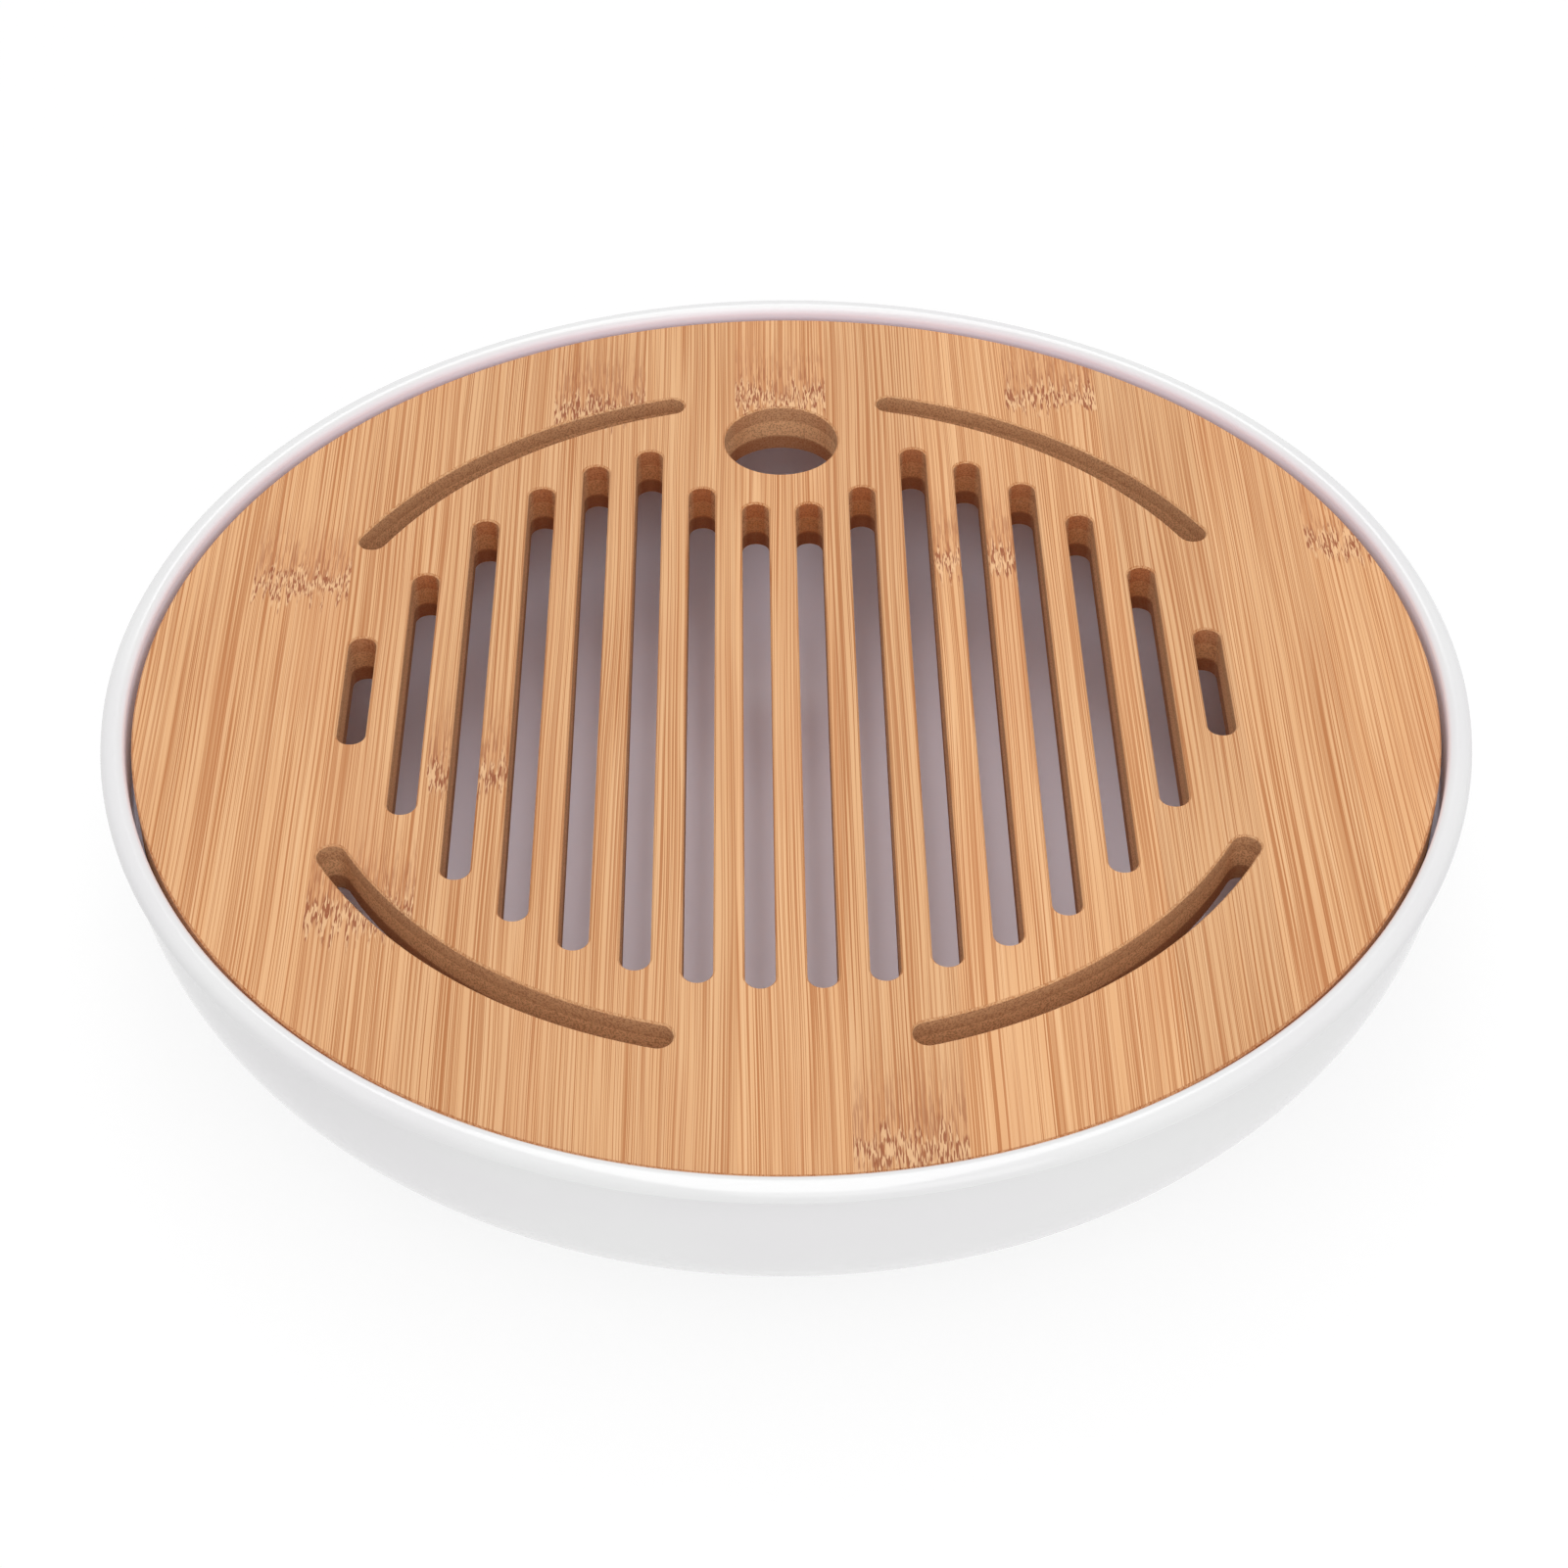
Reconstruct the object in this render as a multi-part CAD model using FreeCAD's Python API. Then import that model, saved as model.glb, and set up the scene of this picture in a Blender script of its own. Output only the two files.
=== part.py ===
import FreeCAD, Part
import math
import os

# Round tea tray: a white moulded basin holds the waste water, and a slotted lid of
# three-ply bamboo board drops into the basin's rim and rests on a ledge inside it.
# Millimetres. The origin is on the table under the middle of the tray, +Z is up,
# and the finger hole is at the back, towards +Y.

Vector = FreeCAD.Vector

# Bamboo board
lid_diameter = 272.0
ply_thickness = 4.0
strip_width = 21.0
edge_bevel = 0.4

# Straight drain slots
slot_width = 6.0
bar_width = 6.0
side_slot_length = 34.4
field_land = 12.2

# Curved drain slots around the straight ones
arc_margin = 29.0
arc_start_angle = 14.1
arc_end_angle = 60.75

# Finger hole
hole_diameter = 26.0
hole_margin = 36.0
hole_land = 11.5

# Basin: lip and seat for the lid
lid_gap = 1.2
ledge_width = 5.2
ledge_upright = 1.0
rim_wall = 5.0
lip_rise = 2.5
lip_round = 2.3
lip_inner_round = 1.8
lip_land = 0.7
lip_overhang = 2.5

# Basin: wall, floor and foot ring
wall_upright = 5.7
wall_curve = 41.0
floor_thickness = 4.7
foot_ring_width = 18.0
foot_recess = 1.2

# Anti-slip pads
pad_count = 4
pad_diameter = 12.0
pad_thickness = 2.5
pad_pocket = 1.0
pad_gap = 0.3
pad_round = 0.5

# Radii from the lid outwards
lid_radius = lid_diameter / 2
seat_radius = lid_radius + lid_gap
well_radius = seat_radius - ledge_width
lip_radius = seat_radius + rim_wall
body_radius = lip_radius - lip_overhang
base_radius = body_radius - wall_curve

# Heights from the table upwards
base_height = pad_thickness - pad_pocket
floor_height = base_height + floor_thickness
curve_top = base_height + wall_curve
cove_bottom = curve_top + wall_upright
lip_edge = cove_bottom + lip_overhang
crest_height = lip_edge + lip_land + lip_round
lid_top = crest_height - lip_rise
lid_thickness = 3 * ply_thickness
lid_bottom = lid_top - lid_thickness
well_curve = lid_bottom - ledge_upright - floor_height

# Slot layout
slot_radius = slot_width / 2
slot_pitch = slot_width + bar_width
arc_radius = lid_radius - arc_margin - slot_radius
field_radius = arc_radius - slot_width - field_land
hole_radius = hole_diameter / 2
hole_centre = lid_radius - hole_margin - hole_radius
hole_clear = hole_radius + hole_land + slot_radius


def in_plan(x, y):
    """A point of an outline drawn flat, seen from above."""
    return Vector(x, y, 0)


def in_section(r, z):
    """A point of an outline drawn in the half plane from the axis to +X."""
    return Vector(r, 0, z)


def line(place, start, end):
    return Part.LineSegment(place(*start), place(*end)).toShape()


def arc(place, centre, radius, start_angle, end_angle):
    """A round stretch of an outline, its angles in degrees from the first axis."""
    points = []
    for angle in (start_angle, (start_angle + end_angle) / 2, end_angle):
        turn = math.radians(angle)
        points.append(place(centre[0] + radius * math.cos(turn), centre[1] + radius * math.sin(turn)))
    return Part.Arc(*points).toShape()


def polyline(place, points):
    return [line(place, a, b) for a, b in zip(points, points[1:])]


def through_cut(edges):
    """Turn a closed plan outline into a cutter that passes right through the board."""
    face = Part.Face(Part.Wire(edges))
    face.translate(Vector(0, 0, lid_bottom - ply_thickness))
    return face.extrude(Vector(0, 0, lid_thickness + 2 * ply_thickness))


def straight_slot(x, front, back):
    """A slot along Y with round ends; front and back are the centres of its end rounds."""
    left, right = x - slot_radius, x + slot_radius
    return through_cut([
        line(in_plan, (right, front), (right, back)),
        arc(in_plan, (x, back), slot_radius, 0, 180),
        line(in_plan, (left, back), (left, front)),
        arc(in_plan, (x, front), slot_radius, 180, 360),
    ])


def curved_slot(middle_angle):
    """A slot along the arc circle with round ends, its middle at the given angle from +X."""
    half = (arc_end_angle - arc_start_angle) / 2
    first, last = middle_angle - half, middle_angle + half
    ends = []
    for angle in (first, last):
        turn = math.radians(angle)
        ends.append((arc_radius * math.cos(turn), arc_radius * math.sin(turn)))
    return through_cut([
        arc(in_plan, (0, 0), arc_radius + slot_radius, first, last),
        arc(in_plan, ends[1], slot_radius, last, last + 180),
        arc(in_plan, (0, 0), arc_radius - slot_radius, last, first),
        arc(in_plan, ends[0], slot_radius, first + 180, first + 360),
    ])


def slot_reach(x):
    """How far a straight slot runs to the front and to the back of the lid's middle."""
    front = math.sqrt(field_radius ** 2 - x ** 2)
    back = front
    if abs(x) < hole_clear:
        back = min(back, hole_centre - math.sqrt(hole_clear ** 2 - x ** 2))
    return front, back


def slot_cutters():
    """The row of straight slots, the short slot at each side of it and the curved slots."""
    cutters = []
    x = slot_pitch / 2
    while x < field_radius:
        for side in (-x, x):
            front, back = slot_reach(side)
            cutters.append(straight_slot(side, -front, back))
        x += slot_pitch
    side_reach = side_slot_length / 2 - slot_radius
    for side in (-x, x):
        cutters.append(straight_slot(side, -side_reach, side_reach))
    quarter_middle = (arc_start_angle + arc_end_angle) / 2
    for axis_angle in (90, 270):
        for turn in (-quarter_middle, quarter_middle):
            cutters.append(curved_slot(axis_angle + turn))
    return cutters


def finger_hole():
    depth = lid_thickness + 2 * ply_thickness
    return Part.makeCylinder(hole_radius, depth, Vector(0, hole_centre, lid_bottom - ply_thickness))


def lid_board():
    """The whole lid as it leaves the router: round, slotted, with its edges eased."""
    disc = Part.makeCylinder(lid_radius, lid_thickness, Vector(0, 0, lid_bottom))
    board = disc.cut(slot_cutters() + [finger_hole()])
    faces = [f for f in board.Faces if abs(f.normalAt(0, 0).z) > 0.5]
    edges = [edge for face in faces for edge in face.Edges]
    return board.makeChamfer(edge_bevel, edges)


def strip_places(below, above):
    """Where each strip across the board begins, counted outwards from the one on the middle line."""
    each_side = math.ceil((lid_radius - strip_width / 2) / strip_width)
    places = {"middle": -strip_width / 2}
    for count in range(1, each_side + 1):
        places[f"{below}_{count}"] = -(count + 0.5) * strip_width
        places[f"{above}_{count}"] = (count - 0.5) * strip_width
    return places


def ply_strips(board, level, along_y):
    """The strips of one ply by their places, the plies counted from 0 at the bottom of the lid."""
    z = lid_bottom + level * ply_thickness
    slab = Part.makeBox(lid_diameter, lid_diameter, ply_thickness, Vector(-lid_radius, -lid_radius, z))
    ply = board.common(slab)
    sides = ("left", "right") if along_y else ("front", "back")
    strips = {}
    for place, low in strip_places(*sides).items():
        if along_y:
            block = Part.makeBox(strip_width, lid_diameter, ply_thickness, Vector(low, -lid_radius, z))
        else:
            block = Part.makeBox(lid_diameter, strip_width, ply_thickness, Vector(-lid_radius, low, z))
        strips[place] = Part.makeCompound(ply.common(block).Solids)
    return strips


def pad_places():
    """The pads' centres, on the middle of the foot ring."""
    ring = base_radius - foot_ring_width / 2
    places = []
    for index in range(pad_count):
        turn = 2 * math.pi * (index + 0.5) / pad_count
        places.append((ring * math.cos(turn), ring * math.sin(turn)))
    return places


def foot_pad(x, y):
    """A soft round pad that stands on the table and fills its pocket."""
    pad = Part.makeCylinder(pad_diameter / 2, pad_thickness, Vector(x, y, 0))
    lower = [edge for edge in pad.Edges if edge.BoundBox.ZMax < pad_thickness / 2]
    return pad.makeFillet(pad_round, lower)


def basin_section():
    """The basin's outline from its axis along the floor, over the lip and back under the base."""
    floor_radius = well_radius - well_curve
    ring_radius = base_radius - foot_ring_width
    recess_height = base_height + foot_recess
    inner_lip = (seat_radius + lip_inner_round, crest_height - lip_inner_round)
    outer_lip = (lip_radius - lip_round, crest_height - lip_round)
    edges = [
        line(in_section, (0, floor_height), (floor_radius, floor_height)),
        arc(in_section, (floor_radius, floor_height + well_curve), well_curve, -90, 0),
    ]
    edges += polyline(in_section, [
        (well_radius, floor_height + well_curve),
        (well_radius, lid_bottom),
        (seat_radius, lid_bottom),
        (seat_radius, inner_lip[1]),
    ])
    edges += [
        arc(in_section, inner_lip, lip_inner_round, 180, 90),
        line(in_section, (inner_lip[0], crest_height), (outer_lip[0], crest_height)),
        arc(in_section, outer_lip, lip_round, 90, 0),
        line(in_section, (lip_radius, outer_lip[1]), (lip_radius, lip_edge)),
        arc(in_section, (lip_radius, cove_bottom), lip_overhang, 90, 180),
        line(in_section, (body_radius, cove_bottom), (body_radius, curve_top)),
        arc(in_section, (base_radius, curve_top), wall_curve, 0, -90),
    ]
    edges += polyline(in_section, [
        (base_radius, base_height),
        (ring_radius, base_height),
        (ring_radius, recess_height),
        (0, recess_height),
        (0, floor_height),
    ])
    return Part.Face(Part.Wire(edges))


def basin():
    """The moulding, turned about its axis, with a pocket for each pad."""
    body = basin_section().revolve(Vector(0, 0, 0), Vector(0, 0, 1), 360)
    pocket_radius = pad_diameter / 2 + pad_gap
    pockets = [Part.makeCylinder(pocket_radius, pad_thickness, Vector(x, y, 0)) for x, y in pad_places()]
    return body.cut(pockets)


def write(name, shape):
    if not shape.isValid():
        raise ValueError(name + " is not a valid solid")
    shape.exportStep(os.path.join("parts", name + ".step"))


def main():
    os.makedirs("parts", exist_ok=True)
    write("basin", basin())
    for index, (x, y) in enumerate(pad_places(), start=1):
        write(f"foot_pad_{index}", foot_pad(x, y))
    board = lid_board()
    plies = (("bottom_strip", True), ("core_strip", False), ("top_strip", True))
    for level, (ply, along_y) in enumerate(plies):
        for place, strip in ply_strips(board, level, along_y).items():
            write(f"{ply}_{place}", strip)


main()
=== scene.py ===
import functools
import math

import bmesh
import bpy
from bpy.props import FloatProperty, FloatVectorProperty, IntProperty, PointerProperty
from mathutils import Matrix, Vector


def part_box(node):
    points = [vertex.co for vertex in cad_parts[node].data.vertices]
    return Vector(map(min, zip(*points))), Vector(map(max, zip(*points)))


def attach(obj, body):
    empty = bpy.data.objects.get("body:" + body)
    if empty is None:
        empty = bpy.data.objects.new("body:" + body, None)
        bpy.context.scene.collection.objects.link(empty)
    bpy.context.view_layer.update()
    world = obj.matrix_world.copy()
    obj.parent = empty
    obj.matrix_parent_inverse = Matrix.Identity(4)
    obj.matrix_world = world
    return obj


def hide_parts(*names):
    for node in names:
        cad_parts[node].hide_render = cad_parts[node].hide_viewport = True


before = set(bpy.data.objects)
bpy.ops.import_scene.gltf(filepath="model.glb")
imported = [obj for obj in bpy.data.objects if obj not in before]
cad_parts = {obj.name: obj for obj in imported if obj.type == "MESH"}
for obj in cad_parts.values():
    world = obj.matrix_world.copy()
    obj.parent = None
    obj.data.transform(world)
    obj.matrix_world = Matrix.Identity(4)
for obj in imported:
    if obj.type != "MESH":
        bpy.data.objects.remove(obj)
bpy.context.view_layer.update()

bl_info = {
    "name": "Round tea tray",
    "version": (1, 0, 0),
    "blender": (4, 5, 0),
    "location": "3D View > Sidebar > Tea tray",
    "description": "A moulded white basin, a slotted bamboo lid and soft feet, with a studio around them",
    "category": "Object",
}

# The frame in metres: the CAD box, the bodies and what the basin has to fit
base_body = "base"
lid_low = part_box("bottom_strip_middle")[0]
lid_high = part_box("top_strip_middle")[1]
basin_low, basin_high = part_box("basin")
pad_nodes = sorted(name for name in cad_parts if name.startswith("foot_pad"))
millimetre = 0.001


def linear(hex_colour):
    """Turn an sRGB hex colour into the linear values that the shaders work in."""
    channels = [int(hex_colour[start:start + 2], 16) / 255 for start in (1, 3, 5)]
    return [c / 12.92 if c <= 0.04045 else ((c + 0.055) / 1.055) ** 2.4 for c in channels]


def length_property(name, description, default):
    return FloatProperty(name=name, description=description, default=default, min=0.0,
                         unit="LENGTH", subtype="DISTANCE", precision=5)


def angle_property(name, description, degrees):
    return FloatProperty(name=name, description=description, default=math.radians(degrees),
                         unit="ROTATION", subtype="ANGLE")


def colour_property(name, description, hex_colour):
    return FloatVectorProperty(name=name, description=description, default=linear(hex_colour),
                               min=0.0, max=1.0, subtype="COLOR")


class BasinSettings(bpy.types.PropertyGroup):
    """Sizes and colours of the moulded basin."""
    rim_wall: length_property("Rim wall", "Thickness of the rim around the lid", 0.005)
    ledge_width: length_property("Ledge width", "Width of the ledge that carries the lid", 0.0052)
    ledge_upright: length_property("Ledge upright", "Straight stretch of wall under the ledge", 0.001)
    lip_round: length_property("Outer lip round", "Radius of the lip's outer shoulder", 0.0023)
    lip_inner_round: length_property("Inner lip round", "Radius of the lip's inner shoulder", 0.0018)
    lip_land: length_property("Lip land", "Upright stretch below the lip's shoulder", 0.0007)
    lip_overhang: length_property("Lip overhang", "How far the lip stands proud of the wall", 0.0025)
    wall_curve: length_property("Wall curve", "Radius from the wall into the base", 0.041)
    floor_thickness: length_property("Floor thickness", "Thickness of the floor on the foot ring", 0.0047)
    foot_ring_width: length_property("Foot ring width", "Width of the flat ring that holds the pads", 0.018)
    foot_recess: length_property("Foot recess", "How far the middle of the base is raised", 0.0012)
    pad_gap: length_property("Pad gap", "Clearance of each pad in its pocket", 0.0003)
    soft_edge: length_property("Soft edge", "Radius that the mould leaves on a sharp edge", 0.0003)
    turns: IntProperty(name="Segments", description="Faces around the basin", default=256, min=32)
    white: colour_property("White", "Colour of the moulding", "#E0E0E0")
    white_shade: colour_property("White shade", "Colour in the faint flow marks", "#DEDDDE")
    # Painted light: the inside is painted paler than the outside and mauve, standing in for light bounced
    # into the shaded well and the mauve tint of its shade
    well: colour_property("Well", "Faint mauve cast of the inside", "#F5EFFC")
    satin: FloatProperty(
        name="Inside satin", description="Roughness of the inside beyond that of the outside",
        default=0.22, min=0.0, max=1.0, subtype="FACTOR")


class BambooSettings(bpy.types.PropertyGroup):
    """Fibre sizes and colours of the pressed bamboo board."""
    fibre_width: length_property("Fibre width", "Width of one bundle of fibres", 0.00026)
    fibre_length: length_property("Fibre length", "Length over which a bundle stays visible", 0.160)
    band_width: length_property("Band width", "Width of the slow tone bands", 0.0022)
    knuckle_height: length_property("Knuckle height", "Height of the dense ring of a knuckle", 0.008)
    straw: colour_property("Straw", "Main colour of the board's faces", "#E3AD7A")
    pale: colour_property("Pale fibre", "Light fibres between the bundles", "#ECBD8D")
    bundle: colour_property("Bundle", "Dark fibre bundles", "#B8743F")
    flush: colour_property("Flush", "Reddish tone beside a knuckle", "#C98454")
    fleck: colour_property("Fleck", "Dark flecks of a knuckle", "#954E28")
    core_straw: colour_property("Core straw", "Main colour of the core ply", "#EBC48A")
    core_pale: colour_property("Core pale", "Light fibres of the core ply", "#F3D8A4")
    core_bundle: colour_property("Core bundle", "Dark bundles of the core ply", "#C2965C")
    routed: colour_property("Routed", "Reddish walls that the cutter left in the faces", "#BA6C3E")
    # The dusty colours paint side-grain walls paler, and as painted light also the walls of the ring of
    # curved slots, where more light reaches
    dusty: colour_property("Dusty", "Cut walls of the faces where dust lies on them", "#D6A77C")
    core_routed: colour_property("Core routed", "Walls that the cutter left in the core", "#C77C4A")
    core_side_grain_and_painted_light: colour_property("Core dusty", "Cut walls of the core where dust lies on them", "#F2BF90")
    # Painted shade: the lower ply of the cut walls, deep in the slots and the hole, is painted in this darker
    # brown, which also marks the pores
    shade_and_pore_brown: colour_property("Scorched", "Cut walls of the lower ply, where the cutter ran hot", "#84401F")


class PadSettings(bpy.types.PropertyGroup):
    """Colours of the foot pads."""
    grey: colour_property("Grey", "Colour of the pads", "#B4B5B3")
    bloom: colour_property("Bloom", "Dusty tone of the pads", "#C6C6C3")


class StageSettings(bpy.types.PropertyGroup):
    """The studio: camera, lamps and floor."""
    lens: FloatProperty(name="Lens", description="Focal length on a 36 mm frame", default=74.9, unit="CAMERA")
    elevation: angle_property("Elevation", "Height of the camera above the horizon", 42.01)
    azimuth: angle_property("Azimuth", "Turn of the camera around the tray", -0.59)
    roll: angle_property("Roll", "Tilt of the camera about its own axis", -0.21)
    distance: length_property("Distance", "From the camera to the point it looks at", 0.6614)
    aim_forward: length_property("Aim forward", "How far the aim lies in front of the tray's middle", 0.0311)
    aim_left: length_property("Aim left", "How far the aim lies to the left of the tray's middle", 0.0008)
    floor_colour: colour_property("Floor", "Colour of the studio floor", "#FAFAFA")
    floor_glow: FloatProperty(
        name="Floor glow", description="Share of plain white in the floor around the tray",
        default=0.85, min=0.0, max=1.0, subtype="FACTOR")
    sky: FloatProperty(name="Room light", description="Even light from the white room", default=0.6, min=0.0)
    top_power: FloatProperty(
        name="Top softbox", description="Wide light from above", default=23.5, unit="POWER")
    front_power: FloatProperty(
        name="Front softbox", description="Low light from in front", default=4.0, unit="POWER")


def add_node(tree, kind, inputs=None, **settings):
    """Add a node with its settings, and give its inputs values or links to other nodes."""
    node = tree.nodes.new(kind)
    for name, value in settings.items():
        setattr(node, name, value)
    shown = [socket for socket in node.inputs if socket.enabled]
    for key, value in (inputs or {}).items():
        socket = shown[key] if isinstance(key, int) else next(s for s in shown if s.name == key)
        if isinstance(value, bpy.types.Node):
            value = next(output for output in value.outputs if output.enabled)
        if isinstance(value, bpy.types.NodeSocket):
            tree.links.new(value, socket)
        elif socket.type == "RGBA":
            socket.default_value = (*value, 1.0)
        else:
            socket.default_value = value
    return node


def new_material(name):
    """An empty node material, and the function that adds nodes to it."""
    material = bpy.data.materials.new(name)
    material.use_nodes = True
    material.node_tree.nodes.clear()
    return material, functools.partial(add_node, material.node_tree)


def patch(node, place, size, low, high, most=1.0, seed=0.0, detail=2.0):
    """Soft patches of a size in millimetres, from 0 between them to the most in their middle."""
    scaled = node("ShaderNodeMapping", {
        "Vector": place, "Location": (seed, seed, seed), "Scale": [1 / side for side in size]})
    noise = node("ShaderNodeTexNoise", {"Vector": scaled, "Scale": 1.0, "Detail": detail})
    return node("ShaderNodeMapRange", {"Value": noise, "From Min": low, "From Max": high, "To Max": most},
                interpolation_type="SMOOTHSTEP")


def moulded_white(settings):
    """Glossy white moulded plastic: an even white skin with soft, slightly wavy reflections, satin inside,
    where a paler mauve colour is painted light for the shaded well.
    """
    material, node = new_material("moulded_white_plastic")
    texture = node("ShaderNodeTexCoord")
    place = node("ShaderNodeMapping", {"Vector": texture.outputs["Object"], "Scale": [1 / millimetre] * 3})
    flow = patch(node, place, (70, 70, 25), 0.35, 0.65)
    colour = node("ShaderNodeMix", {"Factor": flow, "A": settings.white, "B": settings.white_shade},
                  data_type="RGBA")

    # What faces the axis is the inside, and with the outward direction leaning down, so is the floor
    lean = (0, 0, -50 * millimetre)
    outward = node("ShaderNodeVectorMath", {0: texture.outputs["Object"], 1: (1, 1, 0), 2: lean},
                   operation="MULTIPLY_ADD")
    facing = node("ShaderNodeVectorMath", {0: outward, 1: texture.outputs["Normal"]}, operation="DOT_PRODUCT")
    inward = node("ShaderNodeMath", {0: facing.outputs["Value"], 1: 0.0}, operation="LESS_THAN")
    height = node("ShaderNodeSeparateXYZ", {"Vector": place}).outputs["Z"]
    crest = basin_high.z / millimetre
    painted_light_start = crest - 0.2
    painted_light_full = crest - 1.6
    below = node("ShaderNodeMapRange", {"Value": height, "From Min": painted_light_start, "From Max": painted_light_full})
    inside = node("ShaderNodeMath", {0: inward, 1: below}, operation="MULTIPLY")
    # Painted light: below the crest the inside takes the paler mauve colour, standing in for light bounced
    # into the shaded well
    colour = node("ShaderNodeMix", {"Factor": inside, "A": colour, "B": settings.well}, data_type="RGBA")

    # Handling leaves faint dull spots, and the inside is duller all over
    handling = patch(node, place, (9, 9, 9), 0.3, 0.7, detail=4.0)
    rough = node("ShaderNodeMapRange", {"Value": handling, "To Min": 0.1, "To Max": 0.13})
    rough = node("ShaderNodeMath", {0: inside, 1: settings.satin, 2: rough}, operation="MULTIPLY_ADD")
    wave = patch(node, place, (28, 28, 28), 0.2, 0.8, seed=5.0, detail=1.0)
    bump = node("ShaderNodeBump", {"Height": wave, "Strength": 0.1, "Distance": 0.02 * millimetre})
    shader = node("ShaderNodeBsdfPrincipled", {
        "Base Color": colour, "Roughness": rough, "IOR": 1.6, "Normal": bump})
    node("ShaderNodeOutputMaterial", {"Surface": shader})
    return material


# Where the photo shows a knuckle in the lid's top, for each strip from the left: millimetres from the middle
# towards the back, or None
face_knuckles = (None, 35, -68, -28, 100, None, 103, -131, 41, 103, None, None, 46)

# The range of a knuckle's place on its strip, and the marks around it, in millimetres; a mark's size is given
# across the fibres, along them and up
knuckle_span = 400
ring_edge = 2.0
tooth_size = (0.9, 9, 0.9)
tooth_height = 12.0
blush_length = 30.0
stroke_size = (0.33, 7, 0.33)
fleck_size = (0.3, 3.0, 0.3)

# The ring of curved slots, how far from it the cut walls are painted paler as painted light, and the soft
# edge of the painted shade on the lower ply
slot_ring_radius = 104.0
painted_light_ring_full = 2.0
painted_light_ring_ends = 18.0
painted_shade_edge = 0.6

# Pores of cut bamboo and the grain of moulded silicone are finer than this, and are drawn coarser to show
bamboo_pore = (0.4, 0.4, 0.4)
silicone_grain = (0.35, 0.35, 0.35)


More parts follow.
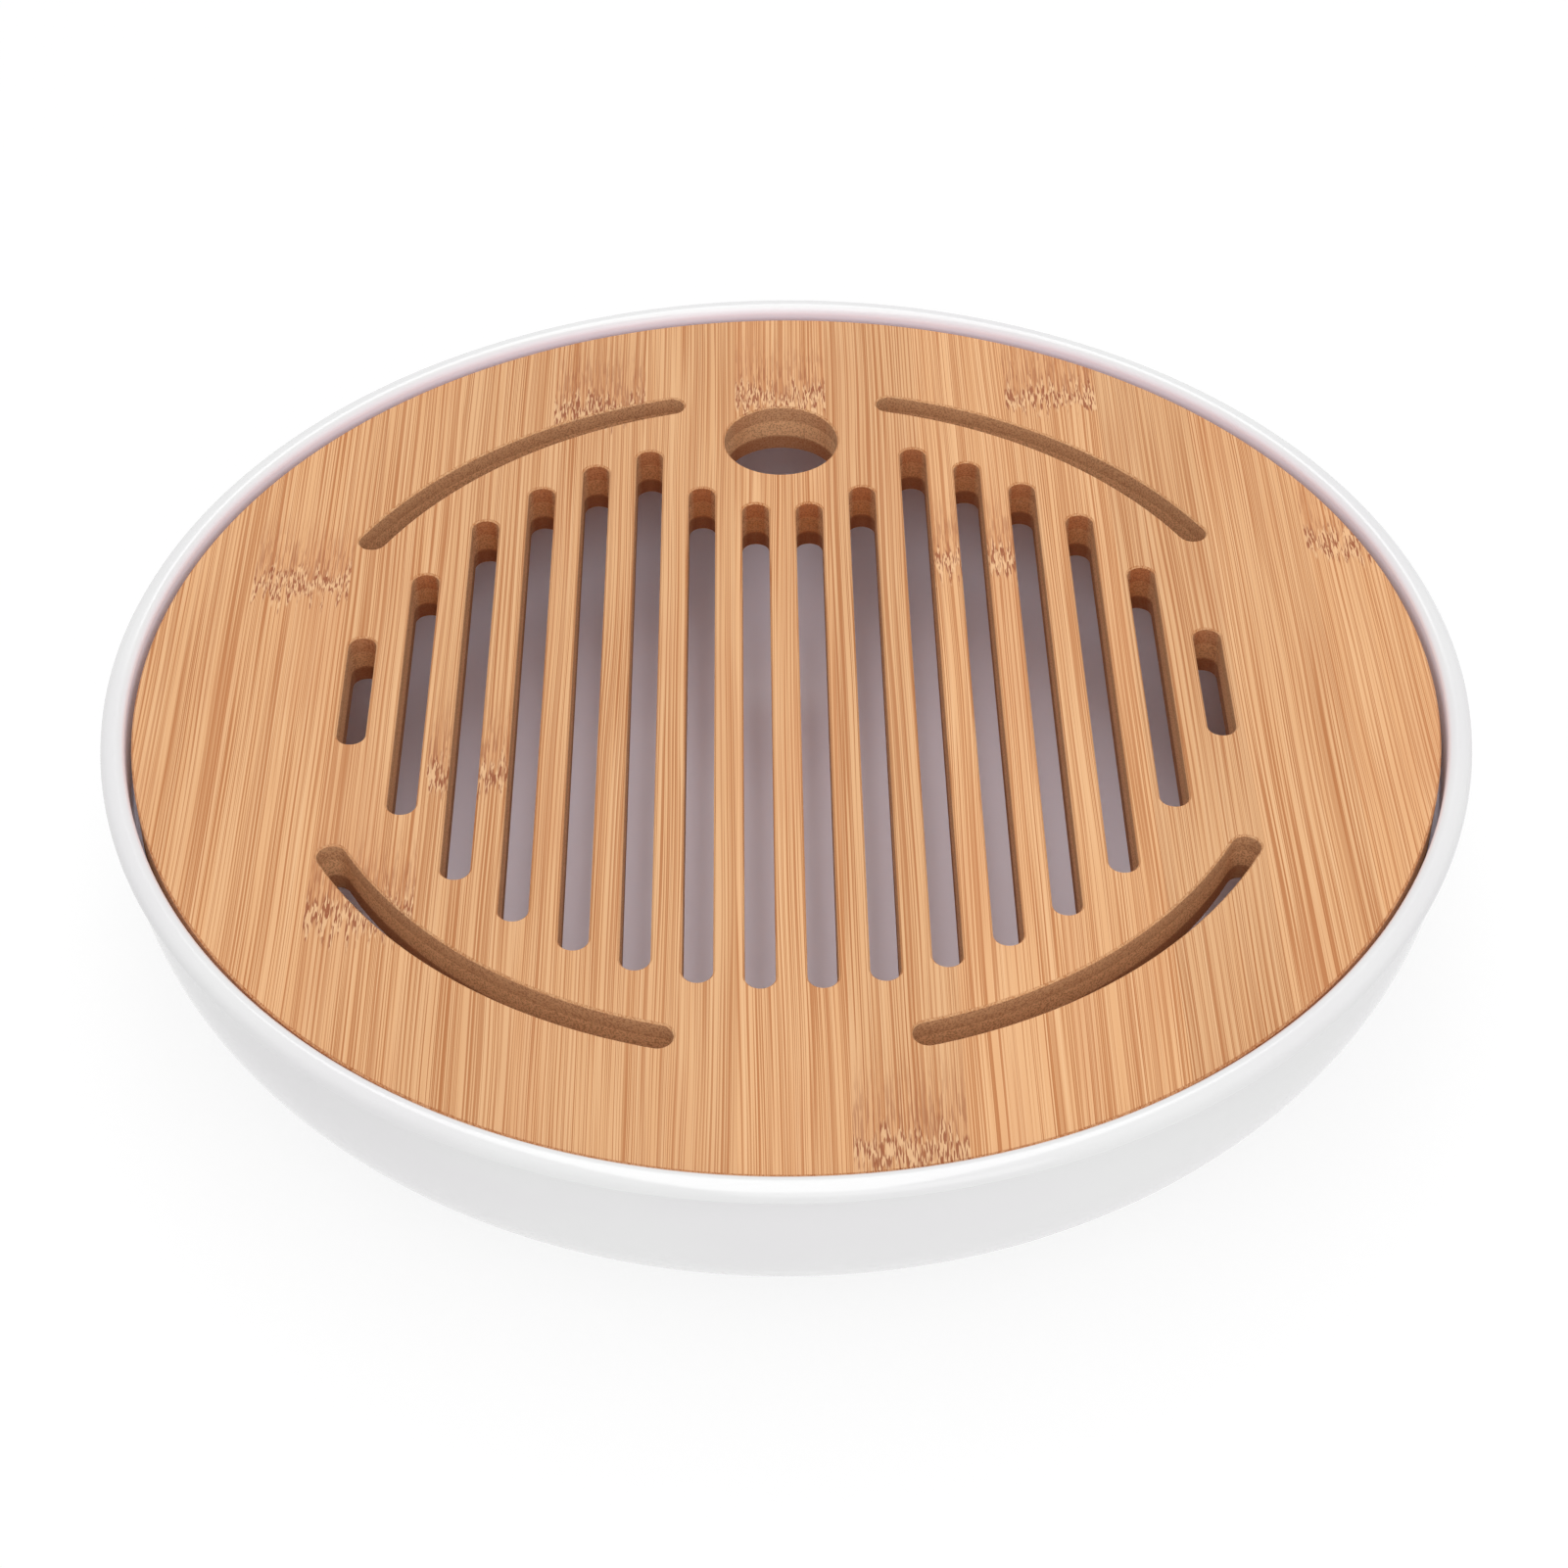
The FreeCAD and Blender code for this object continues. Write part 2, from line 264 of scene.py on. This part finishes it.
def bamboo(name, settings, straw, pale, bundle, routed, dusty, turn, knuckles):
    """Bamboo strips pressed into a board: long fibre bundles that break at every joint between strips."""
    material, node = new_material(name)
    texture = node("ShaderNodeTexCoord")
    strip_width = (lid_high.x - lid_low.x) / millimetre

    # Millimetres across the strips, along them and up
    grain = node("ShaderNodeMapping", {
        "Vector": texture.outputs["Object"], "Rotation": (0, 0, turn), "Scale": [1 / millimetre] * 3})
    sides = node("ShaderNodeSeparateXYZ", {"Vector": grain})
    across, along, up = sides.outputs

    # Each strip is another piece of cane, so its fibres start elsewhere
    count = node("ShaderNodeMath", {0: across, 1: 1 / strip_width, 2: 0.5}, operation="MULTIPLY_ADD")
    strip = node("ShaderNodeMath", {0: count}, operation="FLOOR")
    chance = node("ShaderNodeTexWhiteNoise", {"W": strip}, noise_dimensions="1D")
    most_shift = (300, 900, 300)
    own = node("ShaderNodeVectorMath", {0: chance.outputs["Color"], 1: most_shift, 2: grain},
               operation="MULTIPLY_ADD")
    sway = patch(node, own, (30, 180, 30), 0.0, 1.0, most=2.5)
    sway = node("ShaderNodeCombineXYZ", {"X": sway})
    fibres = node("ShaderNodeVectorMath", {0: own, 1: sway}, operation="ADD")

    # Slow bands of tone, light hairs, dark bundles that lie denser in places, dark lines and warm patches
    width = settings.fibre_width / millimetre
    length = settings.fibre_length / millimetre
    band = settings.band_width / millimetre
    bands = patch(node, fibres, (band, length, band), 0.34, 0.66, most=0.36)
    colour = node("ShaderNodeMix", {"Factor": bands, "A": straw, "B": pale}, data_type="RGBA")
    hairs = patch(node, fibres, (0.8 * width, 0.6 * length, 0.8 * width), 0.54, 0.66, most=0.7, seed=23.0)
    colour = node("ShaderNodeMix", {"Factor": hairs, "A": colour, "B": pale}, data_type="RGBA")
    bundles = patch(node, fibres, (width, length, width), 0.5, 0.6, seed=11.0, detail=1.0)
    dense = patch(node, fibres, (6, 0.5 * length, 6), 0.3, 0.7, seed=17.0)
    dense = node("ShaderNodeMapRange", {"Value": dense, "To Min": 0.7, "To Max": 0.94})
    share = node("ShaderNodeMath", {0: bundles, 1: dense}, operation="MULTIPLY")
    colour = node("ShaderNodeMix", {"Factor": share, "A": colour, "B": bundle}, data_type="RGBA")
    lines = patch(node, fibres, (1.6 * width, length, 1.6 * width), 0.57, 0.64,
                  most=0.5, seed=37.0, detail=0.0)
    colour = node("ShaderNodeMix", {"Factor": lines, "A": colour, "B": bundle}, data_type="RGBA")
    warm = patch(node, own, (18, 75, 18), 0.5, 0.7, most=0.22, seed=31.0)
    colour = node("ShaderNodeMix", {"Factor": warm, "A": colour, "B": settings.flush}, data_type="RGBA")

    if knuckles:
        # One knuckle at most on each strip, placed off the board where there is none; the lower ply has them
        # mirrored
        ramp = node("ShaderNodeValToRGB", {"Fac": node(
            "ShaderNodeMath", {0: strip, 1: 1 / len(knuckles), 2: 0.5}, operation="MULTIPLY_ADD")})
        stops = ramp.color_ramp.elements
        ramp.color_ramp.interpolation = "CONSTANT"
        for index, place in enumerate(knuckles):
            level = 0.0 if place is None else place / knuckle_span + 0.5
            stop = stops[index] if index < len(stops) else stops.new(1.0)
            stop.position = index / len(knuckles)
            stop.color = (level, level, level, 1.0)
        height = node("ShaderNodeMapRange", {
            "Value": ramp, "To Min": -knuckle_span / 2, "To Max": knuckle_span / 2})
        middle = (lid_low.z + lid_high.z) / 2 / millimetre
        side = node("ShaderNodeMath", {0: up, 1: middle}, operation="SUBTRACT")
        side = node("ShaderNodeMath", {0: side}, operation="SIGN")
        height = node("ShaderNodeMath", {0: height, 1: side}, operation="MULTIPLY")
        beyond = node("ShaderNodeMath", {0: along, 1: height}, operation="SUBTRACT")
        ragged = patch(node, fibres, tooth_size, 0.2, 0.8, seed=47.0)
        tooth = node("ShaderNodeMath", {0: ragged, 1: tooth_height, 2: -tooth_height / 2},
                     operation="MULTIPLY_ADD")
        beyond_teeth = node("ShaderNodeMath", {0: beyond, 1: tooth}, operation="ADD")
        reach = node("ShaderNodeMath", {0: beyond_teeth}, operation="ABSOLUTE")
        half = settings.knuckle_height / millimetre / 2
        ring = node("ShaderNodeMapRange", {
            "Value": reach, "From Min": half + ring_edge, "From Max": half - ring_edge, "To Max": 0.85},
            interpolation_type="SMOOTHSTEP")

        # Behind the ring the fibres break up into longer strokes on a reddish ground, and slowly close again
        fade = node("ShaderNodeMapRange", {"Value": beyond, "From Min": blush_length, "From Max": half},
                    interpolation_type="SMOOTHSTEP")
        start = node("ShaderNodeMapRange", {
            "Value": beyond_teeth, "From Min": -tooth_height / 2, "From Max": ring_edge / 2},
            interpolation_type="SMOOTHSTEP")
        blush = node("ShaderNodeMath", {0: fade, 1: start}, operation="MULTIPLY")
        ground = node("ShaderNodeMath", {0: blush, 1: 0.2}, operation="MULTIPLY")
        colour = node("ShaderNodeMix", {"Factor": ground, "A": colour, "B": settings.flush}, data_type="RGBA")
        strokes = patch(node, fibres, stroke_size, 0.49, 0.58, most=0.5, seed=53.0, detail=1.0)
        strokes = node("ShaderNodeMath", {0: strokes, 1: blush}, operation="MULTIPLY")
        colour = node("ShaderNodeMix", {"Factor": strokes, "A": colour, "B": settings.fleck},
                      data_type="RGBA")
        flecks = patch(node, fibres, fleck_size, 0.46, 0.55, seed=59.0, detail=1.0)
        mark = node("ShaderNodeMix", {"Factor": flecks, "A": pale, "B": settings.fleck}, data_type="RGBA")
        colour = node("ShaderNodeMix", {"Factor": ring, "A": colour, "B": mark}, data_type="RGBA")

    # Strips differ in tone
    tone = node("ShaderNodeMapRange", {"Value": chance.outputs["Value"], "To Min": 0.875, "To Max": 0.975})
    colour = node("ShaderNodeHueSaturation", {"Value": tone, "Color": colour})

    # The cutter leaves the walls duller than the lacquered faces: reddish on end grain in the straight slots,
    # paler on the side grain along them, painted paler as painted light in the ring of curved slots, darker
    # in the lower ply as painted shade, and finely pored
    normal = node("ShaderNodeSeparateXYZ", {"Vector": texture.outputs["Normal"]})
    upright = node("ShaderNodeMath", {0: normal.outputs["Z"]}, operation="ABSOLUTE")
    wall = node("ShaderNodeMapRange", {"Value": upright, "From Min": 0.85, "From Max": 0.35, "To Max": 0.85})
    sideways = node("ShaderNodeMath", {0: normal.outputs["X"]}, operation="ABSOLUTE")
    sideways = node("ShaderNodeMapRange", {"Value": sideways, "From Min": 0.6, "From Max": 0.95})
    plan = node("ShaderNodeVectorMath", {0: grain, 1: (1, 1, 0)}, operation="MULTIPLY")
    radius = node("ShaderNodeVectorMath", {0: plan}, operation="LENGTH").outputs["Value"]
    off_ring = node("ShaderNodeMath", {0: radius, 1: slot_ring_radius}, operation="SUBTRACT")
    off_ring = node("ShaderNodeMath", {0: off_ring}, operation="ABSOLUTE")
    # Painted light: walls near the ring of curved slots are painted paler, where more light reaches them
    curved = node("ShaderNodeMapRange", {"Value": off_ring, "From Min": painted_light_ring_ends, "From Max": painted_light_ring_full})
    # This mask is side grain on the walls facing sideways and painted light on the walls of the ring of
    # curved slots
    dust = node("ShaderNodeMath", {0: curved, 1: sideways}, operation="MAXIMUM")
    cut = node("ShaderNodeMix", {"Factor": dust, "A": routed, "B": dusty}, data_type="RGBA")
    # Painted shade: the lower ply of the cut walls is painted darker, less so on the paler walls that get
    # more light
    ply = (lid_high.z - lid_low.z) / 3 / millimetre
    low = lid_low.z / millimetre + ply
    depth = node("ShaderNodeMapRange", {"Value": up, "From Min": low, "From Max": low - painted_shade_edge})
    painted_shade_strength = node("ShaderNodeMapRange", {"Value": dust, "To Min": 1.0, "To Max": 0.5})
    lower_ply_painted_shade = node("ShaderNodeMath", {0: depth, 1: painted_shade_strength}, operation="MULTIPLY")
    cut = node("ShaderNodeMix", {"Factor": lower_ply_painted_shade, "A": cut, "B": settings.shade_and_pore_brown}, data_type="RGBA")
    pores = patch(node, own, bamboo_pore, 0.46, 0.6, most=0.5, seed=71.0)
    cut = node("ShaderNodeMix", {"Factor": pores, "A": cut, "B": settings.shade_and_pore_brown}, data_type="RGBA")
    colour = node("ShaderNodeMix", {"Factor": wall, "A": colour, "B": cut}, data_type="RGBA")
    rough = node("ShaderNodeMapRange", {"Value": wall, "To Min": 0.5, "To Max": 0.9})
    bump = node("ShaderNodeBump", {
        "Height": bundles, "Strength": 0.35, "Distance": 0.03 * millimetre}, invert=True)
    shader = node("ShaderNodeBsdfPrincipled", {
        "Base Color": colour, "Roughness": rough, "Specular IOR Level": 0.25, "Normal": bump})
    node("ShaderNodeOutputMaterial", {"Surface": shader})
    return material


def silicone(settings):
    """Soft moulded silicone: dull grey with a dusty bloom and a fine grain."""
    material, node = new_material("silicone_rubber")
    place = node("ShaderNodeTexCoord").outputs["Object"]
    place = node("ShaderNodeMapping", {"Vector": place, "Scale": [1 / millimetre] * 3})
    dust = patch(node, place, (3, 3, 3), 0.4, 0.65, detail=4.0)
    colour = node("ShaderNodeMix", {"Factor": dust, "A": settings.grey, "B": settings.bloom},
                  data_type="RGBA")
    pores = patch(node, place, silicone_grain, 0.3, 0.7)
    bump = node("ShaderNodeBump", {"Height": pores, "Strength": 0.4, "Distance": 0.05 * millimetre})
    shader = node("ShaderNodeBsdfPrincipled", {
        "Base Color": colour, "Roughness": 0.65, "IOR": 1.41, "Normal": bump})
    node("ShaderNodeOutputMaterial", {"Surface": shader})
    return material


def dress(names, material):
    """Give CAD nodes their finish."""
    for name in names:
        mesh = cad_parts[name].data
        mesh.materials.clear()
        mesh.materials.append(material)


def add_mesh(name, shape, material):
    """Turn a finished bmesh into an object at the origin."""
    mesh = bpy.data.meshes.new(name)
    shape.to_mesh(mesh)
    shape.free()
    mesh.materials.append(material)
    piece = bpy.data.objects.new(name, mesh)
    bpy.context.scene.collection.objects.link(piece)
    return piece


def round_corners(shape, corners):
    """Draw an outline in the XZ plane through corners of radius, height and rounding, as loose edges."""
    facet = 1.2 * millimetre
    points = [shape.verts.new((radius, 0, height)) for radius, height, _ in corners]
    for start, end in zip(points, points[1:]):
        shape.edges.new((start, end))
    for point, (_, _, rounding) in zip(points, corners):
        if rounding:
            steps = max(4, round(rounding / facet))
            bmesh.ops.bevel(shape, geom=[point], offset=rounding, offset_type="OFFSET", segments=steps,
                            profile=0.5, affect="VERTICES", material=-1)


class TEATRAY_OT_basin(bpy.types.Operator):
    """Turn the basin's outline about its axis and sink a pocket for each foot pad"""
    bl_idname = "teatray.basin"
    bl_label = "Moulded basin"

    sharp_angle = math.radians(40)
    pocket_segments = 48

    def execute(self, context):
        sizes = context.scene.tea_basin
        shape = bmesh.new()
        round_corners(shape, self.outline(sizes))
        bmesh.ops.spin(shape, geom=shape.verts[:] + shape.edges[:], cent=(0, 0, 0), axis=(0, 0, 1),
                       angle=2 * math.pi, steps=sizes.turns, use_merge=True)
        bmesh.ops.remove_doubles(shape, verts=shape.verts[:], dist=0.001 * millimetre)
        self.sink_pockets(shape, sizes)
        bmesh.ops.recalc_face_normals(shape, faces=shape.faces[:])
        for face in shape.faces:
            face.smooth = True
        piece = add_mesh("basin_moulding", shape, moulded_white(sizes))
        piece.data.set_sharp_from_angle(angle=self.sharp_angle)
        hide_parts("basin")
        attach(piece, base_body)
        return {"FINISHED"}

    def outline(self, sizes):
        """Corners from the middle of the floor, over the lip and back to the middle of the base."""
        lip = basin_high.x
        seat = lip - sizes.rim_wall
        well = seat - sizes.ledge_width
        body = lip - sizes.lip_overhang
        ring = body - sizes.wall_curve - sizes.foot_ring_width
        crest, base = basin_high.z, basin_low.z
        lip_edge = crest - sizes.lip_round - sizes.lip_land
        floor = base + sizes.floor_thickness
        well_curve = lid_low.z - sizes.ledge_upright - floor
        recess = base + sizes.foot_recess
        soft = sizes.soft_edge
        return [
            (0, floor, 0),
            (well, floor, well_curve),
            (well, lid_low.z, soft),
            (seat, lid_low.z, soft),
            (seat, crest, sizes.lip_inner_round),
            (lip, crest, sizes.lip_round),
            (lip, lip_edge, soft),
            (body, lip_edge, sizes.lip_overhang - soft),
            (body, base, sizes.wall_curve),
            (ring, base, soft),
            (ring, recess, soft),
            (0, recess, 0),
        ]

    def sink_pockets(self, shape, sizes):
        """Open the flat foot ring, fill it around a circle for each pad, and raise the circles to pockets."""
        base = basin_low.z
        flat = [face for face in shape.faces if face.calc_center_median().z < base + 0.01 * millimetre]
        bmesh.ops.delete(shape, geom=flat, context="FACES")
        border = [edge for edge in shape.edges if edge.is_boundary]
        pockets = []
        for name in pad_nodes:
            low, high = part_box(name)
            middle = (low + high) / 2
            made = bmesh.ops.create_circle(
                shape, cap_ends=False, segments=self.pocket_segments,
                radius=(high.x - low.x) / 2 + sizes.pad_gap,
                matrix=Matrix.Translation((middle.x, middle.y, base)))
            circle = {edge for vert in made["verts"] for edge in vert.link_edges}
            pockets.append((circle, high.z - base))
        rims = [edge for circle, _ in pockets for edge in circle]
        bmesh.ops.triangle_fill(shape, use_beauty=True, use_dissolve=False, edges=border + rims,
                                normal=(0, 0, -1))
        for circle, depth in pockets:
            made = bmesh.ops.extrude_edge_only(shape, edges=list(circle))["geom"]
            top = [item for item in made if isinstance(item, bmesh.types.BMVert)]
            bmesh.ops.translate(shape, verts=top, vec=(0, 0, depth))
            edges = [item for item in made if isinstance(item, bmesh.types.BMEdge)
                     and all(vert in top for vert in item.verts)]
            bmesh.ops.edgeloop_fill(shape, edges=edges)


class TEATRAY_OT_lid_faces(bpy.types.Operator):
    """Finish the strips of the lid's top and bottom plies, whose grain runs from front to back"""
    bl_idname = "teatray.lid_faces"
    bl_label = "Lid faces"

    def execute(self, context):
        settings = context.scene.tea_bamboo
        names = [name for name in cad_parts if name.startswith(("top_strip", "bottom_strip"))]
        dress(names, bamboo("lacquered_bamboo", settings, settings.straw, settings.pale, settings.bundle,
                            settings.routed, settings.dusty, 0.0, face_knuckles))
        return {"FINISHED"}


class TEATRAY_OT_lid_core(bpy.types.Operator):
    """Finish the strips of the lid's core ply, whose grain runs from left to right"""
    bl_idname = "teatray.lid_core"
    bl_label = "Lid core"

    def execute(self, context):
        settings = context.scene.tea_bamboo
        names = [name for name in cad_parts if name.startswith("core_strip")]
        dress(names, bamboo("raw_bamboo_core", settings, settings.core_straw, settings.core_pale,
                            settings.core_bundle, settings.core_routed, settings.core_side_grain_and_painted_light, math.pi / 2, ()))
        return {"FINISHED"}


class TEATRAY_OT_foot_pads(bpy.types.Operator):
    """Finish the soft pads under the basin"""
    bl_idname = "teatray.foot_pads"
    bl_label = "Foot pads"

    def execute(self, context):
        dress(pad_nodes, silicone(context.scene.tea_pads))
        return {"FINISHED"}


class TEATRAY_OT_stage(bpy.types.Operator):
    """Set the tray on a pale floor in a white room, with softboxes above and in front, and the camera"""
    bl_idname = "teatray.stage"
    bl_label = "Stage"

    # Metres; the floor turns plain white between two distances from the tray's middle
    floor_size = 6.0
    plain_starts = 0.4
    plain_full = 1.2
    top_place = (0, 0, 1.75)
    top_size = (0.9, 3.7)
    front_place = (0.35, -1.45, 0.6)
    front_size = (1.2, 1.2)

    def execute(self, context):
        settings = context.scene.tea_stage
        self.add_floor(settings)
        self.light_room(context, settings)
        self.add_softbox("top_softbox", self.top_place, self.top_size, settings.top_power)
        self.add_softbox("front_softbox", self.front_place, self.front_size, settings.front_power)
        self.add_camera(context, settings)
        context.scene.view_settings.view_transform = "Standard"
        return {"FINISHED"}

    def seen_directly(self, node):
        """1 for what the camera sees, straight or in a reflection, and 0 for light that falls on the tray."""
        path = node("ShaderNodeLightPath")
        seen = node("ShaderNodeMath", {
            0: path.outputs["Is Camera Ray"], 1: path.outputs["Is Glossy Ray"]}, operation="MAXIMUM")
        return node("ShaderNodeMath", {0: seen, 1: path.outputs["Is Transmission Ray"]}, operation="MAXIMUM")

    def add_floor(self, settings):
        """Matt white paint: it shows the tray's soft shadow nearby and is plain white further away."""
        material, node = new_material("painted_studio_floor")
        paint = node("ShaderNodeBsdfDiffuse", {"Color": settings.floor_colour})
        glow = node("ShaderNodeEmission", {"Color": (1, 1, 1), "Strength": 1.0})
        place = node("ShaderNodeTexCoord").outputs["Object"]
        away = node("ShaderNodeVectorMath", {0: place}, operation="LENGTH").outputs["Value"]
        plain = node("ShaderNodeMapRange", {
            "Value": away, "From Min": self.plain_starts, "From Max": self.plain_full,
            "To Min": settings.floor_glow})
        share = node("ShaderNodeMath", {0: self.seen_directly(node), 1: plain}, operation="MULTIPLY")
        mixed = node("ShaderNodeMixShader", {0: share, 1: paint, 2: glow})
        node("ShaderNodeOutputMaterial", {"Surface": mixed})
        shape = bmesh.new()
        bmesh.ops.create_grid(shape, x_segments=1, y_segments=1, size=self.floor_size / 2)
        add_mesh("studio_floor", shape, material)

    def light_room(self, context, settings):
        """An even white room, which lights the tray less than it shows."""
        world = bpy.data.worlds.new("white_room")
        world.use_nodes = True
        world.node_tree.nodes.clear()
        node = functools.partial(add_node, world.node_tree)
        strength = node("ShaderNodeMapRange", {
            "Value": self.seen_directly(node), "To Min": settings.sky, "To Max": 1.0})
        room = node("ShaderNodeBackground", {"Color": (1, 1, 1), "Strength": strength})
        node("ShaderNodeOutputWorld", {"Surface": room})
        context.scene.world = world

    def add_softbox(self, name, place, size, power):
        """A wide lamp that faces the middle of the lid."""
        lamp = bpy.data.lights.new(name, "AREA")
        lamp.shape = "RECTANGLE"
        lamp.size, lamp.size_y = size
        lamp.energy = power
        softbox = bpy.data.objects.new(name, lamp)
        back = Vector(place) - Vector((0, 0, lid_high.z))
        turn = back.to_track_quat("Z", "Y").to_matrix().to_4x4()
        softbox.matrix_world = Matrix.Translation(place) @ turn
        bpy.context.scene.collection.objects.link(softbox)

    def add_camera(self, context, settings):
        data = bpy.data.cameras.new("photo_camera")
        data.lens = settings.lens
        data.clip_start = 0.01
        camera = bpy.data.objects.new("photo_camera", data)
        tilt = Matrix.Rotation(math.pi / 2 - settings.elevation, 4, "X")
        turn = Matrix.Rotation(settings.azimuth, 4, "Z") @ tilt
        aim = Vector((-settings.aim_left, -settings.aim_forward, lid_high.z))
        back = turn @ Vector((0, 0, settings.distance))
        camera.matrix_world = Matrix.Translation(aim + back) @ turn @ Matrix.Rotation(settings.roll, 4, "Z")
        context.scene.collection.objects.link(camera)
        context.scene.camera = camera


settings_of_scene = {
    "tea_basin": BasinSettings,
    "tea_bamboo": BambooSettings,
    "tea_pads": PadSettings,
    "tea_stage": StageSettings,
}
operators = (
    TEATRAY_OT_basin,
    TEATRAY_OT_lid_faces,
    TEATRAY_OT_lid_core,
    TEATRAY_OT_foot_pads,
    TEATRAY_OT_stage,
)


class TEATRAY_PT_sidebar(bpy.types.Panel):
    """The tray's sizes and colours, and a button for each group of pieces"""
    bl_idname = "TEATRAY_PT_sidebar"
    bl_label = "Tea tray"
    bl_space_type = "VIEW_3D"
    bl_region_type = "UI"
    bl_category = "Tea tray"

    def draw(self, context):
        for name, group in settings_of_scene.items():
            box = self.layout.box()
            for key in group.__annotations__:
                box.prop(getattr(context.scene, name), key)
        for operator in operators:
            self.layout.operator(operator.bl_idname)


def register():
    for group in settings_of_scene.values():
        bpy.utils.register_class(group)
    for name, group in settings_of_scene.items():
        setattr(bpy.types.Scene, name, PointerProperty(type=group))
    for item in (*operators, TEATRAY_PT_sidebar):
        bpy.utils.register_class(item)


def unregister():
    for item in (TEATRAY_PT_sidebar, *reversed(operators)):
        bpy.utils.unregister_class(item)
    for name, group in reversed(settings_of_scene.items()):
        delattr(bpy.types.Scene, name)
        bpy.utils.unregister_class(group)


def main():
    register()
    bpy.ops.teatray.basin()
    bpy.ops.teatray.lid_faces()
    bpy.ops.teatray.lid_core()
    bpy.ops.teatray.foot_pads()
    bpy.ops.teatray.stage()


if __name__ == "__main__":
    main()
